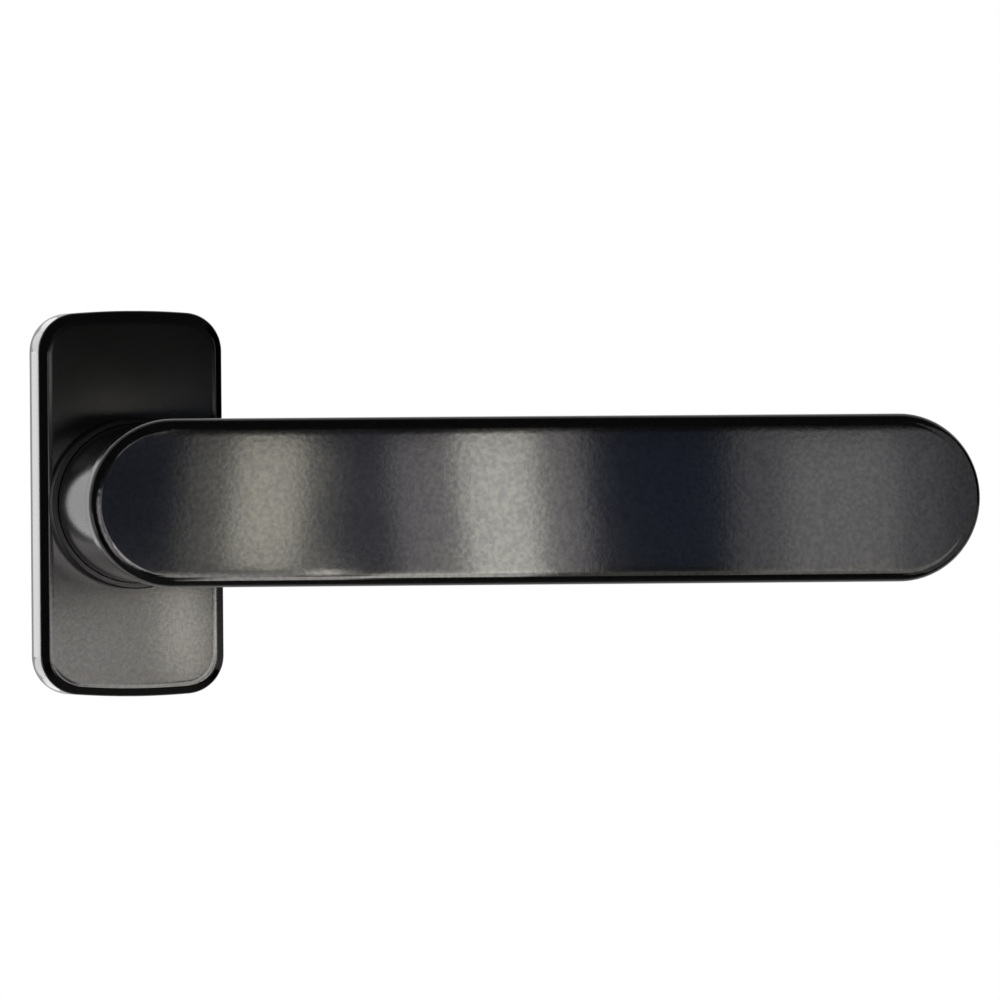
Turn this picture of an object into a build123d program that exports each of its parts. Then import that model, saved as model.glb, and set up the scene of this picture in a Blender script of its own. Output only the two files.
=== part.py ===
from build123d import *
import os

# Lever handle for a folding door, in millimetres.
# +Z is up, +X runs along the lever and +Y points into the door leaf.
# The origin is on the spindle axis, in the plane of the door's face.
# "Depth" is counted from the door's face towards the hand, along -Y.

# Sizes that the door hardware fixes
fixing_centres = 43.0  # between the two screws, up and down
screw_thread_diameter = 5.0
screw_shank_diameter = 4.48  # the rolled shank in the base plate
screw_head_diameter = 9.2
screw_reach = 14.0  # thread behind the door's face
screw_recess_length = 4.6
screw_recess_width = 1.0
screw_recess_depth = 1.5
screw_point_bevel = 0.6
spindle_side = 7.0
spindle_reach = 32.0  # behind the door's face
spindle_grip = 25.0  # inside the handle, from the door's face
spindle_point_bevel = 0.9

# Cover plate
plate_width = 31.0
plate_height = 64.2
plate_depth = 9.5
plate_corner_radius = 6.4
plate_arch_rise = 1.0  # how far each short end bows out between its corners
plate_wall = 1.3
plate_bevel = 1.3
plate_arris_radius = 0.6  # on both sides of the bevel
pry_notch_width = 6.0
pry_notch_depth = 1.2

# Collar ring, which fills the plate's flat front from bevel to bevel
collar_wall = 0.9
collar_height = 3.2
collar_edge_radius = 0.4
collar_spigot_wall = 0.5

# Lever
lever_length = 150.6
lever_overhang = 0.75  # how far the grip stands out over the neck, on each side
lever_thickness = 8.0
lever_projection = 50.0  # highest point of the bowed front, from the door's face
lever_bow_radius = 700.0
lever_front_radius = 2.0  # round edge along the front
lever_back_radius = 3.0
neck_blend_radius = 2.0  # where the neck runs into the grip
journal_diameter = 14.0
journal_flats = 12.0  # across the two flats that drive the cam and the washer
journal_end_depth = 0.2

# Base plate
rear_recess_depth = 3.0
web_thickness = 2.2

# Bearing bush
bush_wall = 1.5
bush_flange_width = 1.1
bush_flange_thickness = 0.8

# Index cam and detent springs
cam_across_flats = 18.0
cam_corner_diameter = 22.0
spring_thickness = 0.8
spring_length = 30.0
spring_span = 23.0  # free length between the two seats

# Stop washer and retaining ring
stop_washer_diameter = 20.4
stop_washer_thickness = 1.0
stop_tab_reach = 12.4  # tip of the tab, from the axis
stop_tab_width = 5.0
ring_thickness = 1.0
ring_groove_depth = 0.3
ring_width = 2.0
ring_gap = 4.0
ring_lug_diameter = 2.6
ring_lug_hole_diameter = 1.2

# Grub screw
grub_diameter = 5.0
grub_length = 6.0
grub_socket_across_flats = 2.5
grub_socket_depth = 2.5
grub_depth = 20.0  # its place along the neck, from the door's face

# Clearances, each per side
running_clearance = 0.05
press_clearance = 0.02
seat_clearance = 0.05
cover_clearance = 0.12
screw_clearance = 0.2
stop_clearance = 0.1

# Levels that follow from the sizes above, as depths
base_depth = plate_depth - plate_wall - cover_clearance
web_front = rear_recess_depth + web_thickness
pocket_floor = web_front + bush_flange_thickness
neck_foot = base_depth + seat_clearance
cover_inside = plate_depth - plate_wall
collar_front = plate_depth + collar_height
ring_front = rear_recess_depth - 2 * seat_clearance - stop_washer_thickness

# Radii that follow from the sizes above
collar_radius = plate_width / 2 - plate_bevel
collar_bore_radius = collar_radius - collar_wall
collar_spigot_radius = collar_bore_radius + collar_spigot_wall
neck_radius = collar_bore_radius - 2 * running_clearance
lever_end_radius = neck_radius + lever_overhang
journal_radius = journal_diameter / 2
bush_radius = journal_radius + running_clearance + bush_wall
flange_radius = bush_radius + bush_flange_width
spring_inside = cam_across_flats / 2 + seat_clearance
spring_outside = spring_inside + spring_thickness
spring_bend = cam_corner_diameter / 2 - cam_across_flats / 2
screw_thread_radius = screw_thread_diameter / 2
screw_shank_radius = screw_shank_diameter / 2
screw_head_radius = screw_head_diameter / 2
socket_side = spindle_side + 2 * seat_clearance


def at_depth(depth):
    """Plane parallel to the door, this far in front of its face, looking out of the door."""
    return Plane.XZ.offset(depth)


def slab(sketch, back, front):
    """Sketch drawn on the door's face, made solid between two depths."""
    return extrude(at_depth(back) * sketch, amount=front - back)


def disc(radius, back, front):
    """Round slab on the spindle axis between two depths."""
    return slab(Circle(radius), back, front)


def plate_outline(inset):
    """Upright outline with straight sides, bowed ends and round corners, drawn in by an inset."""
    side = plate_width / 2 - inset
    crown = plate_height / 2 - inset
    shoulder = crown - plate_arch_rise
    edges = [
        ThreePointArc((side, shoulder), (0, crown), (-side, shoulder)),
        Line((-side, shoulder), (-side, -shoulder)),
        ThreePointArc((-side, -shoulder), (0, -crown), (side, -shoulder)),
        Line((side, -shoulder), (side, shoulder)),
    ]
    outline = make_face(edges)
    return fillet(outline.vertices(), plate_corner_radius - inset)


def keyed_bore(back, front):
    """Solid that cuts a hole for the journal with its two flats."""
    flats = Rectangle(journal_diameter + 1, journal_flats + 2 * press_clearance)
    return slab(Circle(journal_radius + press_clearance) & flats, back, front)


def make_cover_plate():
    """Shell with a bevelled front, open towards the door, with a round hole for the collar."""
    blank = slab(plate_outline(0), 0, plate_depth)
    blank = chamfer(blank.faces().sort_by(Axis.Y)[0].edges(), plate_bevel)
    rim = blank.faces().sort_by(Axis.Y)[0].edges()
    shoulder_line = plate_bevel - plate_depth
    rim += blank.edges().filter_by_position(Axis.Y, shoulder_line, shoulder_line)
    shell = fillet(rim, plate_arris_radius)
    shell -= slab(plate_outline(plate_wall), 0, cover_inside)
    shell -= disc(collar_spigot_radius + press_clearance, cover_inside, plate_depth)
    notch = Box(pry_notch_width, 2 * pry_notch_depth, 2 * plate_wall + 2 * plate_arch_rise)
    return shell - Pos(0, 0, -plate_height / 2) * notch


def make_collar_ring():
    """Ring that guides the neck, with a spigot pushed into the cover plate's round hole."""
    flange = disc(collar_radius, plate_depth, collar_front)
    outer_edge = flange.edges().sort_by(Axis.Y)[0]
    ring = fillet(outer_edge, collar_edge_radius)
    ring += disc(collar_spigot_radius, cover_inside, plate_depth)
    return ring - disc(collar_bore_radius, cover_inside, collar_front)


def make_base_plate():
    """Die-cast plate with the bearing bore, the spring pocket in front and the stop recess behind."""
    base = slab(plate_outline(plate_wall + cover_clearance), 0, base_depth)
    base -= disc(bush_radius + press_clearance, 0, base_depth)
    base -= disc(flange_radius + seat_clearance, web_front, base_depth)
    seat_half = spring_outside + seat_clearance
    seats = Rectangle(2 * seat_half, spring_length + 2 * seat_clearance)
    room = Rectangle(2 * (seat_half + spring_bend), spring_span)
    base -= slab(seats + room, pocket_floor, base_depth)
    tab_sweep = Circle(stop_tab_reach + stop_clearance)
    stop_wall = stop_tab_width / 2 + stop_clearance
    tab_side = Pos(stop_wall - stop_tab_reach, 0) * Rectangle(2 * stop_tab_reach, 3 * stop_tab_reach)
    base -= slab(tab_sweep & tab_side, 0, rear_recess_depth)
    base -= disc(stop_washer_diameter / 2 + stop_clearance, 0, rear_recess_depth)
    hole_radius = screw_thread_radius + screw_clearance
    mouth_radius = screw_head_radius + screw_clearance
    sink_depth = mouth_radius - hole_radius
    for side in (-1, 1):
        place = Pos(0, 0, side * fixing_centres / 2)
        base -= place * disc(hole_radius, 0, base_depth)
        cone = Cone(hole_radius, mouth_radius, sink_depth)
        base -= place * Pos(0, sink_depth / 2 - base_depth, 0) * Rot(90, 0, 0) * cone
    return base


def make_bearing_bush():
    """Flanged plastic bush pressed into the base plate's web."""
    bush = disc(bush_radius, rear_recess_depth, web_front)
    bush += disc(flange_radius, web_front, pocket_floor)
    return bush - disc(journal_radius + running_clearance, rear_recess_depth, pocket_floor)


def make_index_cam():
    """Square plate with rounded corners that sits on the journal's flats."""
    section = Rectangle(cam_across_flats, cam_across_flats) & Circle(cam_corner_diameter / 2)
    cam_back = pocket_floor + seat_clearance
    cam_front = neck_foot - seat_clearance
    return slab(section, cam_back, cam_front) - keyed_bore(cam_back, cam_front)


def make_detent_spring(side):
    """Flat spring strip standing on edge beside the cam, left (-1) or right (1)."""
    middle = side * (spring_inside + spring_outside) / 2
    strip = Pos(middle, 0) * Rectangle(spring_thickness, spring_length)
    return slab(strip, pocket_floor, base_depth - seat_clearance)


def make_stop_washer():
    """Keyed washer with one tab that runs between the two stop walls of the base plate."""
    washer_back = ring_front + seat_clearance
    washer_front = washer_back + stop_washer_thickness
    tab = Pos(-stop_tab_reach / 2, 0) * Rectangle(stop_tab_reach, stop_tab_width)
    tab &= Circle(stop_tab_reach)
    washer = slab(Circle(stop_washer_diameter / 2) + tab, washer_back, washer_front)
    return washer - keyed_bore(washer_back, washer_front)


def make_retaining_ring():
    """External circlip in the journal's groove, with two lugs for the pliers."""
    inner_radius = journal_radius - ring_groove_depth + press_clearance
    outer_radius = inner_radius + ring_width
    lug_height = inner_radius + ring_lug_diameter / 2
    lug_side = (ring_gap + ring_lug_diameter) / 2
    ring = Circle(outer_radius)
    for side in (-1, 1):
        ring += Pos(side * lug_side, -lug_height) * Circle(ring_lug_diameter / 2)
    ring -= Circle(inner_radius)
    ring -= Pos(0, -outer_radius) * Rectangle(ring_gap, 2 * outer_radius)
    for side in (-1, 1):
        ring -= Pos(side * lug_side, -lug_height) * Circle(ring_lug_hole_diameter / 2)
    return slab(ring, ring_front - ring_thickness, ring_front)


def broad_faces(bar):
    """Front and back of the grip, which are its two largest faces."""
    return bar.faces().sort_by(SortBy.AREA)[-2:].sort_by(Axis.Y)


def make_grip():
    """Flat bar with full-round ends, bowed gently towards the hand, with round edges."""
    middle = lever_length / 2 - lever_end_radius
    bow_centre = Pos(middle, lever_bow_radius - lever_projection)
    bow = bow_centre * (Circle(lever_bow_radius) - Circle(lever_bow_radius - lever_thickness))
    bar = extrude(bow, amount=lever_length, both=True)
    plan = Pos(middle, 0) * SlotOverall(lever_length, 2 * lever_end_radius)
    grip = bar & slab(plan, 0, lever_projection)
    grip = fillet(broad_faces(grip)[1].edges(), lever_back_radius)
    return fillet(broad_faces(grip)[0].edges(), lever_front_radius)


def make_lever():
    """One casting: grip, neck, and the flatted journal with its ring groove and square socket."""
    grip = make_grip()
    neck = disc(neck_radius, neck_foot, lever_projection - lever_thickness)
    lever = grip + neck
    lever = fillet(new_edges(grip, neck, combined=lever), neck_blend_radius)
    flats = Rectangle(journal_diameter, journal_flats)
    lever += slab(Circle(journal_radius) & flats, journal_end_depth, neck_foot)
    groove_back = ring_front - ring_thickness - seat_clearance
    groove = disc(journal_radius + 1, groove_back, ring_front + seat_clearance)
    groove -= disc(journal_radius - ring_groove_depth, groove_back, ring_front + seat_clearance)
    lever -= groove
    socket_end = spindle_grip + seat_clearance
    lever -= slab(Rectangle(socket_side, socket_side), journal_end_depth, socket_end)
    tapped = Cylinder(grub_diameter / 2 + press_clearance, neck_radius)
    return lever - Pos(0, -grub_depth, -neck_radius / 2) * tapped


def make_spindle():
    """Square bar that reaches into the door's lock, with bevelled ends."""
    bar = slab(Rectangle(spindle_side, spindle_side), -spindle_reach, spindle_grip)
    ends = bar.faces().sort_by(Axis.Y)
    return chamfer(ends[0].edges() + ends[-1].edges(), spindle_point_bevel)


def make_grub_screw():
    """Socket set screw that stands on the spindle from below."""
    point = -spindle_side / 2 - seat_clearance
    screw = Cylinder(grub_diameter / 2, grub_length)
    socket = extrude(RegularPolygon(grub_socket_across_flats / 2, 6, major_radius=False), grub_socket_depth)
    screw -= Pos(0, 0, -grub_length / 2) * socket
    return Pos(0, -grub_depth, point - grub_length / 2) * screw


def make_fixing_screw():
    """Countersunk machine screw on the spindle axis, its head just below the base plate's front."""
    head_top = base_depth - screw_clearance
    head_height = screw_head_radius - screw_shank_radius
    cone = Cone(screw_shank_radius, screw_head_radius, head_height)
    screw = Pos(0, head_height / 2 - head_top, 0) * Rot(90, 0, 0) * cone
    screw += disc(screw_shank_radius, 0, head_top - head_height)
    thread = disc(screw_thread_radius, -screw_reach, 0)
    screw += chamfer(thread.edges().sort_by(Axis.Y)[-1], screw_point_bevel)
    for turn in (0, 90):
        bar = Rot(0, 0, turn) * Rectangle(screw_recess_length, screw_recess_width)
        screw -= slab(bar, head_top - screw_recess_depth, head_top)
    return screw


def make_fixing_screws():
    """The two screws as one group of separate solids."""
    screw = make_fixing_screw()
    return Compound([Pos(0, 0, side * fixing_centres / 2) * screw for side in (-1, 1)])


nodes = {
    "base_plate": make_base_plate(),
    "bearing_bush": make_bearing_bush(),
    "detent_spring_left": make_detent_spring(-1),
    "detent_spring_right": make_detent_spring(1),
    "fixing_screws": make_fixing_screws(),
    "cover_plate": make_cover_plate(),
    "collar_ring": make_collar_ring(),
    "lever": make_lever(),
    "index_cam": make_index_cam(),
    "stop_washer": make_stop_washer(),
    "retaining_ring": make_retaining_ring(),
    "spindle": make_spindle(),
    "grub_screw": make_grub_screw(),
}
os.makedirs("parts", exist_ok=True)
for name, shape in nodes.items():
    export_step(shape, f"parts/{name}.step")
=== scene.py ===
import math
import bmesh
import bpy
from mathutils import Matrix, Vector


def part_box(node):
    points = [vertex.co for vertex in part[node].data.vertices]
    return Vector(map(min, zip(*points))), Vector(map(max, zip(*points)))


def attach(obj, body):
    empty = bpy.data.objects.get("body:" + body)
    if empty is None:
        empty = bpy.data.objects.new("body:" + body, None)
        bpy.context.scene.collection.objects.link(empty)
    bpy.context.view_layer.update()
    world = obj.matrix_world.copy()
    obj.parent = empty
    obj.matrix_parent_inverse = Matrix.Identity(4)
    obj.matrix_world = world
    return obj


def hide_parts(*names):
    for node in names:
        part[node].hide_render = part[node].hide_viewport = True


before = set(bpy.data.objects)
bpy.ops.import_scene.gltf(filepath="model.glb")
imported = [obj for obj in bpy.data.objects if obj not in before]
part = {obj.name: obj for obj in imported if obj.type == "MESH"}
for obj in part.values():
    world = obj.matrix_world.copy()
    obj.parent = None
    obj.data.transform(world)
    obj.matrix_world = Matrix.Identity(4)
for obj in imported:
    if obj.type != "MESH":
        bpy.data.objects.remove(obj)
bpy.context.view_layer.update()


# Base plate: the aluminium pressure die casting that is screwed to the door leaf.
# It is left as cast, and only the bearing bore and the back are machined.

def linear(hex_colour):
    """sRGB hex colour as a linear colour with alpha."""
    levels = [int(hex_colour[i:i + 2], 16) / 255 for i in (1, 3, 5)]
    return [v / 12.92 if v <= 0.04045 else ((v + 0.055) / 1.055) ** 2.4 for v in levels] + [1.0]


def per_metre(size_mm):
    """Texture scale at which one feature is this many millimetres across."""
    return 1000 / size_mm


def add(tree, kind, values=None, **settings):
    """Adds a node, sets it up, and fills its inputs with values or links from other sockets."""
    node = tree.nodes.new("ShaderNode" + kind)
    for name, setting in settings.items():
        setattr(node, name, setting)
    for name, value in (values or {}).items():
        if isinstance(value, bpy.types.NodeSocket):
            tree.links.new(value, node.inputs[name])
        else:
            node.inputs[name].default_value = value
    return node


def new_material(name):
    """Empty material with its tree, its shader and the piece's own coordinates."""
    material = bpy.data.materials.new(name)
    material.use_nodes = True
    tree = material.node_tree
    place = add(tree, "TexCoord").outputs["Object"]
    return material, tree, tree.nodes["Principled BSDF"], place


def finish(material, *names):
    """Gives the CAD pieces of these names their material."""
    for name in names:
        part[name].data.materials.clear()
        part[name].data.materials.append(material)


# Die-cast aluminium, as cast: a dull silver skin with faint flow clouds and fine pits.
flow_mm = 6.0
pit_mm = 0.35
pit_depth = 0.00004
cast_skin, tree, shader, place = new_material("die_cast_aluminium_as_cast")
cloud = add(tree, "TexNoise", {"Vector": place, "Scale": per_metre(flow_mm), "Detail": 4.0}).outputs["Fac"]
pits = add(tree, "TexNoise", {"Vector": place, "Scale": per_metre(pit_mm), "Detail": 3.0}).outputs["Fac"]
tone = add(tree, "ValToRGB", {"Fac": cloud})
tone.color_ramp.elements[0].position = 0.3
tone.color_ramp.elements[0].color = linear("#8f9296")
tone.color_ramp.elements[1].position = 0.7
tone.color_ramp.elements[1].color = linear("#b4b7ba")
dull = add(tree, "MapRange", {"Value": cloud, "To Min": 0.36, "To Max": 0.5}).outputs["Result"]
skin = add(tree, "Bump", {"Height": pits, "Strength": 0.5, "Distance": pit_depth}).outputs["Normal"]
tree.links.new(tone.outputs["Color"], shader.inputs["Base Color"])
tree.links.new(dull, shader.inputs["Roughness"])
tree.links.new(skin, shader.inputs["Normal"])
shader.inputs["Metallic"].default_value = 1.0
finish(cast_skin, "base_plate")


# Bearing bush: the flanged bush that carries the journal in the base plate's web.
# It is injection moulded in natural acetal and pressed in from the front.

# Acetal, moulded: milky white and faintly waxy, with a soft moulded skin.
milk_mm = 4.0
acetal, tree, shader, place = new_material("acetal_moulded")
milk = add(tree, "TexNoise", {"Vector": place, "Scale": per_metre(milk_mm), "Detail": 2.0}).outputs["Fac"]
tone = add(tree, "ValToRGB", {"Fac": milk})
tone.color_ramp.elements[0].color = linear("#dcdad2")
tone.color_ramp.elements[1].color = linear("#ece9e1")
wax = add(tree, "MapRange", {"Value": milk, "To Min": 0.34, "To Max": 0.44}).outputs["Result"]
tree.links.new(tone.outputs["Color"], shader.inputs["Base Color"])
tree.links.new(wax, shader.inputs["Roughness"])
shader.inputs["IOR"].default_value = 1.48
finish(acetal, "bearing_bush")


# Detent springs and retaining ring: two flat strips that press on the cam, and the circlip behind.
# Both are hardened spring steel, blued by the heat treatment and lightly oiled.

# Spring steel, blued: dark blue-grey with a low gloss and fine rolling lines.
rolling_mm = 0.3
rolling_depth = 0.00002
rolling_stretch = (1.0, 1.0, 0.05)  # the lines run up and down the strips
blued, tree, shader, place = new_material("spring_steel_blued")
rolled = add(tree, "Mapping", {"Vector": place, "Scale": rolling_stretch}).outputs["Vector"]
lines = add(tree, "TexNoise", {"Vector": rolled, "Scale": per_metre(rolling_mm), "Detail": 3.0})
lines = lines.outputs["Fac"]
tone = add(tree, "ValToRGB", {"Fac": lines})
tone.color_ramp.elements[0].color = linear("#33363d")
tone.color_ramp.elements[1].color = linear("#575c66")
oil = add(tree, "MapRange", {"Value": lines, "To Min": 0.28, "To Max": 0.42}).outputs["Result"]
ridge = add(tree, "Bump", {"Height": lines, "Strength": 0.3, "Distance": rolling_depth}).outputs["Normal"]
tree.links.new(tone.outputs["Color"], shader.inputs["Base Color"])
tree.links.new(oil, shader.inputs["Roughness"])
tree.links.new(ridge, shader.inputs["Normal"])
shader.inputs["Metallic"].default_value = 1.0
finish(blued, "detent_spring_left", "detent_spring_right", "retaining_ring")


# Fixing screws: two countersunk M5 machine screws through the base plate into the door leaf.
# They are cold headed with a cross recess, their threads are rolled, and they are zinc plated.
screw_low, screw_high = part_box("fixing_screws")
head_front = screw_low[1]
thread_end = screw_high[1]
thread_radius = 0.0025
thread_pitch = 0.0008
thread_depth = 0.00049
crest_share = 1 / 8  # of the pitch, the flat crest of a metric thread
flank_share = 5 / 8  # of the pitch, its two sloping flanks
point_bevel = 0.0006
shank_radius = 0.00224
head_radius = 0.0046
recess_half_length = 0.0023
recess_half_width = 0.0005
recess_depth = 0.0015
recess_taper = 0.55  # size of the recess at its bottom, as part of its mouth
screw_columns = 32
rows_per_turn = 16
screw_crease = math.radians(25)  # steeper edges stay sharp


def threaded(y, turn):
    """Radius of the thread at this place behind the door's face and this part of a turn."""
    off_crest = abs((y / thread_pitch - turn) % 1 - 0.5) * 2
    sunk = min(max((off_crest - crest_share) / flank_share, 0), 1)
    bevel = max(y - thread_end + point_bevel, 0)
    return min(thread_radius - sunk * thread_depth, thread_radius - bevel)


def add_screw(mesh, axis_z):
    """One screw: head, shank and thread as rings of points, closed by the point and the recess."""
    cone_end = head_front + head_radius - shank_radius
    rings = [(head_front, head_radius), (cone_end, shank_radius), (0.0, shank_radius)]
    thread_rows = round(thread_end / thread_pitch * rows_per_turn)
    rings += [(thread_end * row / thread_rows, None) for row in range(thread_rows + 1)]
    points = []
    for y, radius in rings:
        ring = []
        for column in range(screw_columns):
            turn = column / screw_columns
            reach = radius or threaded(y, turn)
            across, up = reach * math.cos(math.tau * turn), reach * math.sin(math.tau * turn)
            ring.append(mesh.verts.new((across, y, axis_z + up)))
        points.append(ring)
    for front, behind in zip(points, points[1:]):
        for i in range(screw_columns):
            mesh.faces.new((front[i - 1], front[i], behind[i], behind[i - 1]))
    mesh.faces.new(points[-1])

    # Each arm of the cross starts in the inner corner, and its third point is the middle of its end.
    arm = ((recess_half_width, recess_half_width), (recess_half_length, recess_half_width),
           (recess_half_length, 0.0), (recess_half_length, -recess_half_width))
    arm_middle = 2
    quarter_turns = ((1, 0), (0, -1), (-1, 0), (0, 1))
    outline = [(arm_x * c - arm_z * s, arm_x * s + arm_z * c)
               for c, s in quarter_turns for arm_x, arm_z in arm]
    mouth = [mesh.verts.new((x, head_front, axis_z + z)) for x, z in outline]
    bottom = [mesh.verts.new((x * recess_taper, head_front + recess_depth, axis_z + z * recess_taper))
              for x, z in outline]
    for i in range(len(outline)):
        mesh.faces.new((mouth[i - 1], mouth[i], bottom[i], bottom[i - 1]))
    mesh.faces.new(bottom)

    # The head's front is four faces, each from the middle of one arm's end to the next.
    quarter = screw_columns // len(quarter_turns)
    for side in range(len(quarter_turns)):
        rim = [points[0][(-side * quarter - i) % screw_columns] for i in range(quarter + 1)]
        first = len(arm) * side + arm_middle
        inner = [mouth[(first + i) % len(mouth)] for i in range(len(arm) + 1)]
        mesh.faces.new(rim + inner[::-1])


screw_builder = bmesh.new()
for side in (-1, 1):
    add_screw(screw_builder, side * (screw_high[2] - head_radius))
bmesh.ops.recalc_face_normals(screw_builder, faces=screw_builder.faces)
screw_mesh = bpy.data.meshes.new("fixing_screws_threaded")
screw_builder.to_mesh(screw_mesh)
screw_builder.free()
screw_mesh.shade_smooth()
screw_mesh.set_sharp_from_angle(angle=screw_crease)
threaded_screws = bpy.data.objects.new("fixing_screws_threaded", screw_mesh)
bpy.context.collection.objects.link(threaded_screws)

# Zinc-plated steel, clear passivated: bright blue-grey, slightly cloudy, with drawing lines.
drawing_mm = 0.4
drawing_depth = 0.00002
drawing_stretch = (1.0, 0.06, 1.0)  # the lines run along the bar
passivation_mm = 5.0
zinc, tree, shader, place = new_material("zinc_plated_steel")
drawn = add(tree, "Mapping", {"Vector": place, "Scale": drawing_stretch}).outputs["Vector"]
lines = add(tree, "TexNoise", {"Vector": drawn, "Scale": per_metre(drawing_mm), "Detail": 4.0})
cloud = add(tree, "TexNoise", {"Vector": place, "Scale": per_metre(passivation_mm), "Detail": 3.0})
lines, cloud = lines.outputs["Fac"], cloud.outputs["Fac"]
tone = add(tree, "ValToRGB", {"Fac": cloud})
tone.color_ramp.elements[0].position = 0.3
tone.color_ramp.elements[0].color = linear("#9aa3ac")
tone.color_ramp.elements[1].position = 0.75
tone.color_ramp.elements[1].color = linear("#c3c8cb")
bright = add(tree, "MapRange", {"Value": cloud, "To Min": 0.2, "To Max": 0.36}).outputs["Result"]
draw = add(tree, "Bump", {"Height": lines, "Strength": 0.35, "Distance": drawing_depth}).outputs["Normal"]
tree.links.new(tone.outputs["Color"], shader.inputs["Base Color"])
tree.links.new(bright, shader.inputs["Roughness"])
tree.links.new(draw, shader.inputs["Normal"])
shader.inputs["Metallic"].default_value = 1.0
screw_mesh.materials.append(zinc)
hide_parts("fixing_screws")
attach(threaded_screws, "base")


# Spindle, index cam and stop washer: the steel pieces that turn with the lever.
# The spindle is drawn square bar and the other two are stampings, zinc plated like the screws.
finish(zinc, "spindle", "index_cam", "stop_washer")


# Lever: one aluminium casting of grip, neck and journal.
# Its flat faces are ground and finely blasted, its round edges and neck are burnished,
# and all of it is anodised black.

# Black anodised aluminium: the dyed oxide lets little of the metal's mirror through, so it
# mirrors softly and darkly, and the blasted grain takes the dye unevenly as a fine speckle.
# The grain is about 0.1 mm on the real piece and is drawn coarser so that it shows.
# It is on the flat faces only. Edges that face the door are not burnished and stay satin.
satin_mm = 9.0
satin_low, satin_high = 0.13, 0.17  # roughness of the blasted faces
burnished, unburnished = 0.13, 0.36  # roughness of edges towards the hand and towards the door
edge_turned = 0.25  # how far an edge faces the door where it is all satin
flat_begins, flat_whole = 0.985, 0.993  # cosine of a face's slope where the grain begins and is whole


def anodised(name, grain_mm, grain_depth, deep, pale):
    """Material with a grain this wide and this many metres deep, between these two tones."""
    material, tree, shader, place = new_material(name)
    grain = add(tree, "TexNoise", {"Vector": place, "Scale": per_metre(grain_mm), "Detail": 1.0})
    cloud = add(tree, "TexNoise", {"Vector": place, "Scale": per_metre(satin_mm), "Detail": 3.0})
    grain, cloud = grain.outputs["Fac"], cloud.outputs["Fac"]
    normal = add(tree, "TexCoord").outputs["Normal"]
    normal_y = add(tree, "SeparateXYZ", {"Vector": normal}).outputs["Y"]
    facing = add(tree, "Math", {0: normal_y}, operation="ABSOLUTE").outputs["Value"]
    blasted = add(tree, "MapRange", {"Value": facing, "From Min": flat_begins, "From Max": flat_whole})
    blasted = blasted.outputs["Result"]
    dye = add(tree, "ValToRGB", {"Fac": grain})
    dye.color_ramp.elements[0].position = 0.3
    dye.color_ramp.elements[0].color = linear(deep)
    dye.color_ramp.elements[1].position = 0.7
    dye.color_ramp.elements[1].color = linear(pale)
    satin = add(tree, "MapRange", {"Value": cloud, "To Min": satin_low, "To Max": satin_high})
    edge = add(tree, "MapRange", {"Value": normal_y, "From Min": 0.0, "From Max": edge_turned,
                                  "To Min": burnished, "To Max": unburnished})
    gloss = add(tree, "Mix", {"Factor": blasted, "A": edge.outputs["Result"], "B": satin.outputs["Result"]})
    skin = add(tree, "Bump", {"Height": grain, "Strength": blasted, "Distance": grain_depth})
    tree.links.new(dye.outputs["Color"], shader.inputs["Base Color"])
    tree.links.new(gloss.outputs["Result"], shader.inputs["Roughness"])
    tree.links.new(skin.outputs["Normal"], shader.inputs["Normal"])
    shader.inputs["Metallic"].default_value = 1.0
    return material, tree, skin, place


# The belt that grinds a front rolls over a little along the rim.
def roll_rim(tree, place, skin, core, start, width, radius, arch=0.0):
    """Lets a front fall away in an arc near its rim, outside a core of this half width and height.

    The rim strip starts this far from the core, and the arch per metre bows its short ends.
    """
    spot = add(tree, "VectorMath", {0: place}, operation="ABSOLUTE").outputs["Vector"]
    sides = add(tree, "SeparateXYZ", {"Vector": spot})
    across, up = sides.outputs["X"], sides.outputs["Z"]
    bow = add(tree, "Math", {0: across, 1: across}, operation="MULTIPLY").outputs["Value"]
    rise = add(tree, "Math", {0: bow, 1: arch, 2: up}, operation="MULTIPLY_ADD").outputs["Value"]
    spot = add(tree, "CombineXYZ", {"X": across, "Z": rise}).outputs["Vector"]
    corner = (core[0], 0.0, core[1])
    spot = add(tree, "VectorMath", {0: spot, 1: corner}, operation="SUBTRACT").outputs["Vector"]
    spot = add(tree, "VectorMath", {0: spot, 1: (0.0, 0.0, 0.0)}, operation="MAXIMUM").outputs["Vector"]
    off_core = add(tree, "VectorMath", {0: spot}, operation="LENGTH").outputs["Value"]
    past = add(tree, "MapRange", {"Value": off_core, "From Min": start, "From Max": start + width,
                                  "To Min": 0.0, "To Max": width}).outputs["Result"]
    drop = add(tree, "Math", {0: past, 1: past}, operation="MULTIPLY").outputs["Value"]
    drop = add(tree, "Math", {0: drop, 1: -0.5 / radius}, operation="MULTIPLY").outputs["Value"]
    rolled = add(tree, "Bump", {"Height": drop, "Strength": 1.0, "Distance": 1.0}).outputs["Normal"]
    tree.links.new(rolled, skin.inputs["Normal"])


lever_grain_mm = 0.75
lever_grain_depth = 0.000008
lever_core = (1.0, 0.0)  # the grip's middle line, longer than the lever, so that only long rims roll
lever_rim_start = 0.0109
lever_rim_width = 0.0011
lever_rim_radius = 0.022
lever_finish, tree, skin, place = anodised("black_anodised_aluminium_blasted", lever_grain_mm,
                                           lever_grain_depth, "#3c3c3d", "#464645")
roll_rim(tree, place, skin, lever_core, lever_rim_start, lever_rim_width, lever_rim_radius)
finish(lever_finish, "lever")


# Grub screw: the socket set screw that clamps the lever on the spindle from below.
# It is alloy steel with a black oxide finish.

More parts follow.
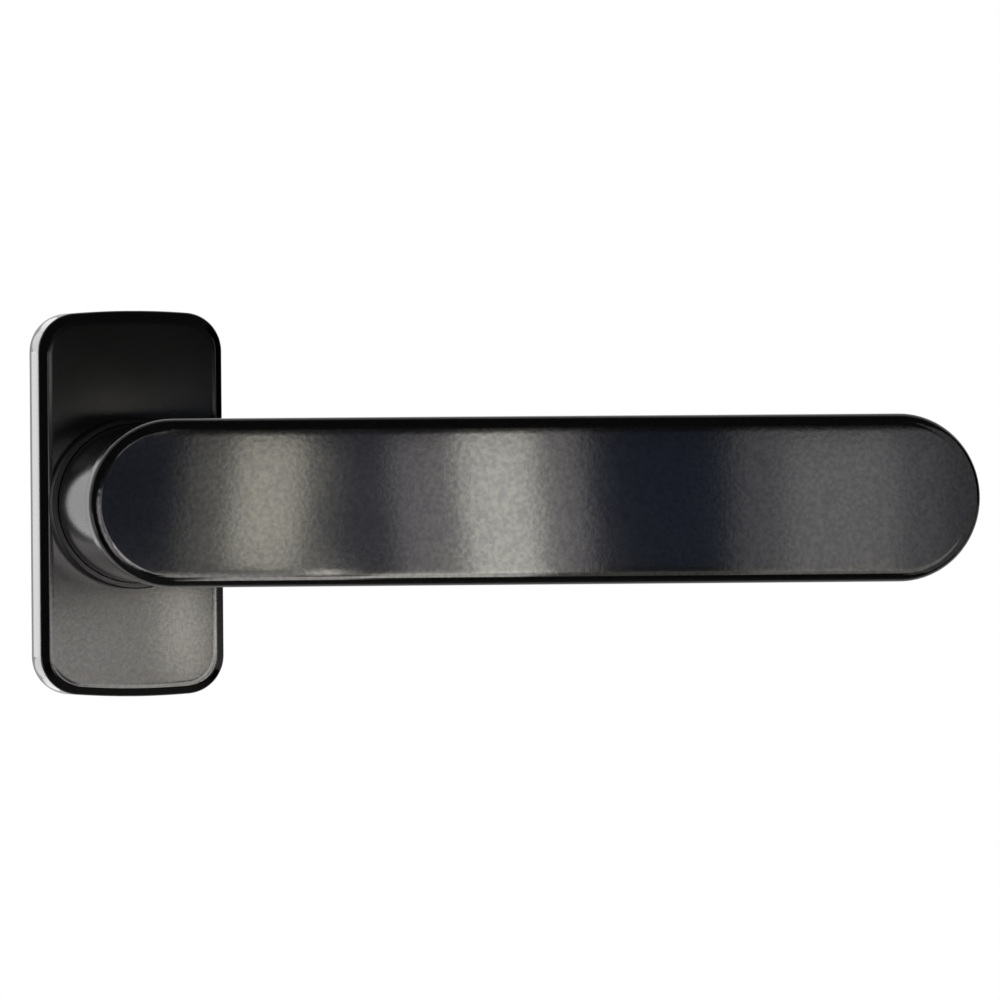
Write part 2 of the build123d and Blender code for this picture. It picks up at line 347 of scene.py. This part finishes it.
# Black oxide steel: a warm black, oily skin.
oil_mm = 0.8
black_oxide, tree, shader, place = new_material("black_oxide_steel")
oil = add(tree, "TexNoise", {"Vector": place, "Scale": per_metre(oil_mm), "Detail": 3.0}).outputs["Fac"]
tone = add(tree, "ValToRGB", {"Fac": oil})
tone.color_ramp.elements[0].color = linear("#161514")
tone.color_ramp.elements[1].color = linear("#262423")
gloss = add(tree, "MapRange", {"Value": oil, "To Min": 0.3, "To Max": 0.48}).outputs["Result"]
tree.links.new(tone.outputs["Color"], shader.inputs["Base Color"])
tree.links.new(gloss, shader.inputs["Roughness"])
shader.inputs["Metallic"].default_value = 0.7
finish(black_oxide, "grub_screw")


# Collar ring: the ring that guides the neck in the cover plate's round hole.
# It is moulded in black nylon and snapped in.

# Nylon, black, moulded: deep black with a low satin skin.
mould_mm = 0.5
nylon, tree, shader, place = new_material("black_nylon_moulded")
skin = add(tree, "TexNoise", {"Vector": place, "Scale": per_metre(mould_mm), "Detail": 2.0}).outputs["Fac"]
tone = add(tree, "ValToRGB", {"Fac": skin})
tone.color_ramp.elements[0].color = linear("#060607")
tone.color_ramp.elements[1].color = linear("#0b0b0c")
satin_skin = add(tree, "MapRange", {"Value": skin, "To Min": 0.44, "To Max": 0.54}).outputs["Result"]
tree.links.new(tone.outputs["Color"], shader.inputs["Base Color"])
tree.links.new(satin_skin, shader.inputs["Roughness"])
shader.inputs["IOR"].default_value = 1.53
finish(nylon, "collar_ring")


# Cover plate: the thin shell that hides the screws, clipped over the base plate.
# It is black anodised like the lever, over a finer blasting.
plate_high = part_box("cover_plate")[1]
plate_corner_radius = 0.0064
plate_core = (plate_high[0] - plate_corner_radius, plate_high[2] - plate_corner_radius)
plate_end_radius = 0.1008  # bow of the short ends
plate_grain_mm = 0.6
plate_grain_depth = 0.000004
plate_rim_start = 0.00415
plate_rim_width = 0.0007
plate_rim_radius = 0.0055
plate_finish, tree, skin, place = anodised("black_anodised_aluminium_fine", plate_grain_mm,
                                           plate_grain_depth, "#3d3d3e", "#454544")
roll_rim(tree, place, skin, plate_core, plate_rim_start, plate_rim_width, plate_rim_radius,
         arch=0.5 / plate_end_radius)
finish(plate_finish, "cover_plate")


# Floor: a plain pale sheet below the handle that catches its shadow.
# It is lifted to white for the eye only, so that it lights nothing by itself.
floor_drop = 0.3
floor_side = 1.2
floor_front = -1.5
floor_back = 0.05
floor_white = 0.97
fibre_mm = 2.0
floor_mesh = bpy.data.meshes.new("floor")
floor_corners = [(-floor_side, floor_front, -floor_drop), (floor_side, floor_front, -floor_drop),
                 (floor_side, floor_back, -floor_drop), (-floor_side, floor_back, -floor_drop)]
floor_mesh.from_pydata(floor_corners, [], [(0, 1, 2, 3)])
floor = bpy.data.objects.new("floor", floor_mesh)
bpy.context.collection.objects.link(floor)

# Paper, matt: off-white, with faint clouds of fibre.
paper, tree, shader, place = new_material("matt_paper")
fibre = add(tree, "TexNoise", {"Vector": place, "Scale": per_metre(fibre_mm), "Detail": 3.0}).outputs["Fac"]
tone = add(tree, "ValToRGB", {"Fac": fibre})
tone.color_ramp.elements[0].color = linear("#c6c6c4")
tone.color_ramp.elements[1].color = linear("#cececc")
seen = add(tree, "LightPath").outputs["Is Camera Ray"]
lift = add(tree, "Math", {0: seen, 1: floor_white}, operation="MULTIPLY").outputs["Value"]
tree.links.new(tone.outputs["Color"], shader.inputs["Base Color"])
tree.links.new(lift, shader.inputs["Emission Strength"])
shader.inputs["Emission Color"].default_value = linear("#ffffff")
shader.inputs["Roughness"].default_value = 0.9
floor_mesh.materials.append(paper)


# Light: upright strips and panels in front of the handle, which the lever and the plate mirror as
# light bands, a few larger boxes round it for its edges, and narrow strips beside the plate's wall.
# Lamps that overlap in one plane hide each other in mirrors, so they stand in several planes.
tube_plane = -0.128
strip_plane = -0.131
tip_plane = -0.1325
panel_plane = -0.134
low_plane = -0.137
gap_plane = -0.139
left_plane = -0.140
fill_plane = -0.142


def soft_box(name, middle, aim, width, height, radiance, tint="#ffffff", lean=0.0):
    """Rectangular lamp that faces a point, unseen by the camera, with this brightness of its face."""
    lamp = bpy.data.lights.new(name, "AREA")
    lamp.shape = "RECTANGLE"
    lamp.size = width
    lamp.size_y = height
    lamp.energy = radiance * math.pi * width * height
    lamp.color = linear(tint)[:3]
    box = bpy.data.objects.new(name, lamp)
    bpy.context.collection.objects.link(box)
    box.location = middle
    box.rotation_mode = "QUATERNION"
    upright = (Vector(aim) - Vector(middle)).to_track_quat("-Z", "Y")
    box.rotation_quaternion = upright @ Matrix.Rotation(lean, 3, "Z").to_quaternion()
    box.visible_camera = False


for name, x, plane, width, low, high, radiance, tint, lean_degrees in (
        # Light bands on the lever's front, from the plate to the tip: a strip with a tube before it
        ("near_strip", 0.0186, strip_plane, 0.031, -0.016, 0.0120, 1.05, "#fffaea", -7),
        ("near_tube", 0.0201, tube_plane, 0.0140, -0.012, 0.0120, 4.2, "#fffbe6", -7),
        ("middle_strip", 0.0677, strip_plane, 0.0405, -0.0255, 0.0130, 1.8, "#fff7f4", 6),
        ("middle_tube", 0.0690, tube_plane, 0.0156, -0.0225, 0.0130, 5.0, "#fffff0", 6),
        ("gap_panel", 0.0405, gap_plane, 0.0105, -0.016, 0.0120, 0.26, "#fff2f2", 0),
        ("far_strip", 0.1435, strip_plane, 0.048, -0.0285, 0.0145, 0.9, "#fffaf4", 0),
        ("far_tube", 0.1424, tube_plane, 0.0245, -0.0295, 0.011, 1.0, "#fffaf4", 0),
        ("tip_panel", 0.1785, tip_plane, 0.021, -0.0285, 0.0145, 0.36, "#fff0d4", 0),
        # Light on the plate's lower half
        ("low_panel", 0.0071, panel_plane, 0.038, -0.0425, -0.0175, 3.2, "#fffaf6", 0),
        ("low_tube", 0.0330, low_plane, 0.007, -0.032, -0.0145, 9.3, "#fffaf0", 0),
        # Light lines along the lower edges of the plate and the lever
        ("low_edge_panel", 0.0275, panel_plane, 0.035, -0.130, -0.0435, 4.5, "#fffaf6", 0),
        ("edge_middle_panel", 0.1020, panel_plane, 0.045, -0.080, -0.022, 0.6, "#fffcf8", 0),
        ("edge_panel", 0.0610, panel_plane, 0.036, -0.080, -0.020, 5.4, "#fffcf4", 0),
        ("far_edge_panel", 0.1625, panel_plane, 0.075, -0.080, -0.022, 1.6, "#fffcf8", 0),
        # Light on the neck and round the lever's left end
        ("left_low_panel", -0.0260, low_plane, 0.028, -0.040, -0.015, 4.0, "#fff8fa", 0),
        ("left_panel", -0.0540, left_plane, 0.052, -0.060, 0.008, 1.5, "#fff8fa", 0),
        ("left_high_panel", -0.0150, low_plane, 0.028, 0.0160, 0.0305, 1.6, "#fff8fa", 0),
        # Faint light on the plate's upper half, and the bluish dark between the bands
        ("high_panel", 0.0360, panel_plane, 0.018, 0.014, 0.021, 0.14, "#e6ecff", 0),
        ("left_fill", -0.0100, fill_plane, 0.040, -0.014, 0.013, 0.17, "#99b6ff", 0),
        ("fill_panel", 0.1000, fill_plane, 0.180, -0.014, 0.013, 0.27, "#a8c0ff", 0)):
    middle_z = (low + high) / 2
    soft_box(name, (x, plane, middle_z), (x, 0, middle_z), width, high - low, radiance, tint,
             math.radians(lean_degrees))

# Larger boxes: in front on the left and the right, low on both sides, and high behind.
for name, middle, aim, width, height, radiance in (
        ("left_box", (-0.25, -0.35, -0.12), (0.0, 0.0, -0.12), 0.15, 0.3, 1.6),
        ("right_box", (0.2392, -0.1123, -0.04), (0.1485, -0.0703, -0.04), 0.138, 0.3, 0.55),
        ("right_low_box", (0.35, 0.03, -0.085), (0.0, 0.03, -0.085), 0.13, 0.14, 0.35),
        ("left_low_box", (-0.35, 0.045, -0.1), (0.0, 0.045, -0.1), 0.13, 0.12, 0.7),
        ("back_box", (0.1, 0.8, 0.5), (0.05, 0.0, 0.0), 0.5, 0.5, 0.4)):
    soft_box(name, middle, aim, width, height, radiance)

# Narrow strips close to the plate's left wall and round its corners, which make that wall white.
rim_strip_width = 0.0011
rim_strip_gap = 0.0007  # from the wall
rim_strip_front = -0.001
rim_strip_aim = 0.0045  # how much further from the door they point
corner_drop = 0.0004  # the strips' corners lie this much nearer to the plate's middle than its core's
corner_height = plate_core[1] - corner_drop
corner_length = 0.0043
corner_radiance = 0.85
for name, side, turn, height, length, radiance in (
        ("rim_strip", 1, 0, 0.0, 0.0509, 1.05),
        ("corner_strip", -1, 18, corner_height, corner_length, corner_radiance),
        ("corner_strip", -1, 53, corner_height, corner_length, corner_radiance),
        ("corner_strip", 1, 18, corner_height, corner_length, corner_radiance),
        ("corner_strip", 1, 53, corner_height, corner_length, corner_radiance)):
    lean = side * math.radians(turn)
    out = Vector((-math.cos(lean), 0.0, math.sin(lean)))
    centre = Vector((-plate_core[0], rim_strip_front, side * height))
    middle = centre + out * (plate_corner_radius + rim_strip_gap)
    aim = middle - out * rim_strip_gap - Vector((0.0, rim_strip_aim, 0.0))
    soft_box(name, middle, aim, rim_strip_width, length, radiance, lean=lean)


# World: a white wall behind the handle and a dark room in front of it.
# The wall ends to the right, so what mirrors that side is dark. The camera sees white everywhere.
room_level = 0.05
wall_level = 0.68
wall_begins, wall_whole = 0.1, 0.5  # how far a direction points backwards
wall_stays, wall_ends = 0.72, 0.82  # how far it points to the right
past_wall = 0.03
ambient_level = 0.025
world = bpy.data.worlds.new("studio")
world.use_nodes = True
bpy.context.scene.world = world
tree = world.node_tree
rays = add(tree, "LightPath")
heading = add(tree, "TexCoord").outputs["Generated"]
heading = add(tree, "SeparateXYZ", {"Vector": heading})
wall = add(tree, "MapRange", {"Value": heading.outputs["Y"], "From Min": wall_begins, "From Max": wall_whole,
                              "To Min": room_level, "To Max": wall_level},
           interpolation_type="SMOOTHSTEP").outputs["Result"]
wing = add(tree, "MapRange", {"Value": heading.outputs["X"], "From Min": wall_stays, "From Max": wall_ends,
                              "To Min": 1.0, "To Max": past_wall}).outputs["Result"]
wall = add(tree, "Math", {0: wall, 1: wing}, operation="MULTIPLY").outputs["Value"]
mirrored = add(tree, "Math", {0: rays.outputs["Is Glossy Ray"], 1: rays.outputs["Is Transmission Ray"]},
               operation="MAXIMUM").outputs["Value"]
ambient = add(tree, "Mix", {"Factor": mirrored, "A": ambient_level, "B": wall}).outputs["Result"]
level = add(tree, "Mix", {"Factor": rays.outputs["Is Camera Ray"], "A": ambient, "B": 1.0}).outputs["Result"]
tree.links.new(level, tree.nodes["Background"].inputs["Strength"])
tree.nodes["Background"].inputs["Color"].default_value = linear("#ffffff")


# Camera: a long lens a little to the left of the handle, level with the spindle.
camera_turn = math.radians(-11.6)
camera_roll = math.radians(-0.45)
camera_reach = 3.93
camera_aim = Vector((0.0582, -0.030, 0.0001))
camera_data = bpy.data.cameras.new("camera")
camera_data.lens = 852
camera_data.sensor_width = 36
camera_data.clip_end = 20
camera = bpy.data.objects.new("camera", camera_data)
bpy.context.collection.objects.link(camera)
back = Vector((math.sin(camera_turn), -math.cos(camera_turn), 0))
level_view = (-back).to_track_quat("-Z", "Y")
camera.location = camera_aim + back * camera_reach
camera.rotation_mode = "QUATERNION"
camera.rotation_quaternion = level_view @ Matrix.Rotation(camera_roll, 3, "Z").to_quaternion()
bpy.context.scene.camera = camera
bpy.context.scene.view_settings.view_transform = "Standard"
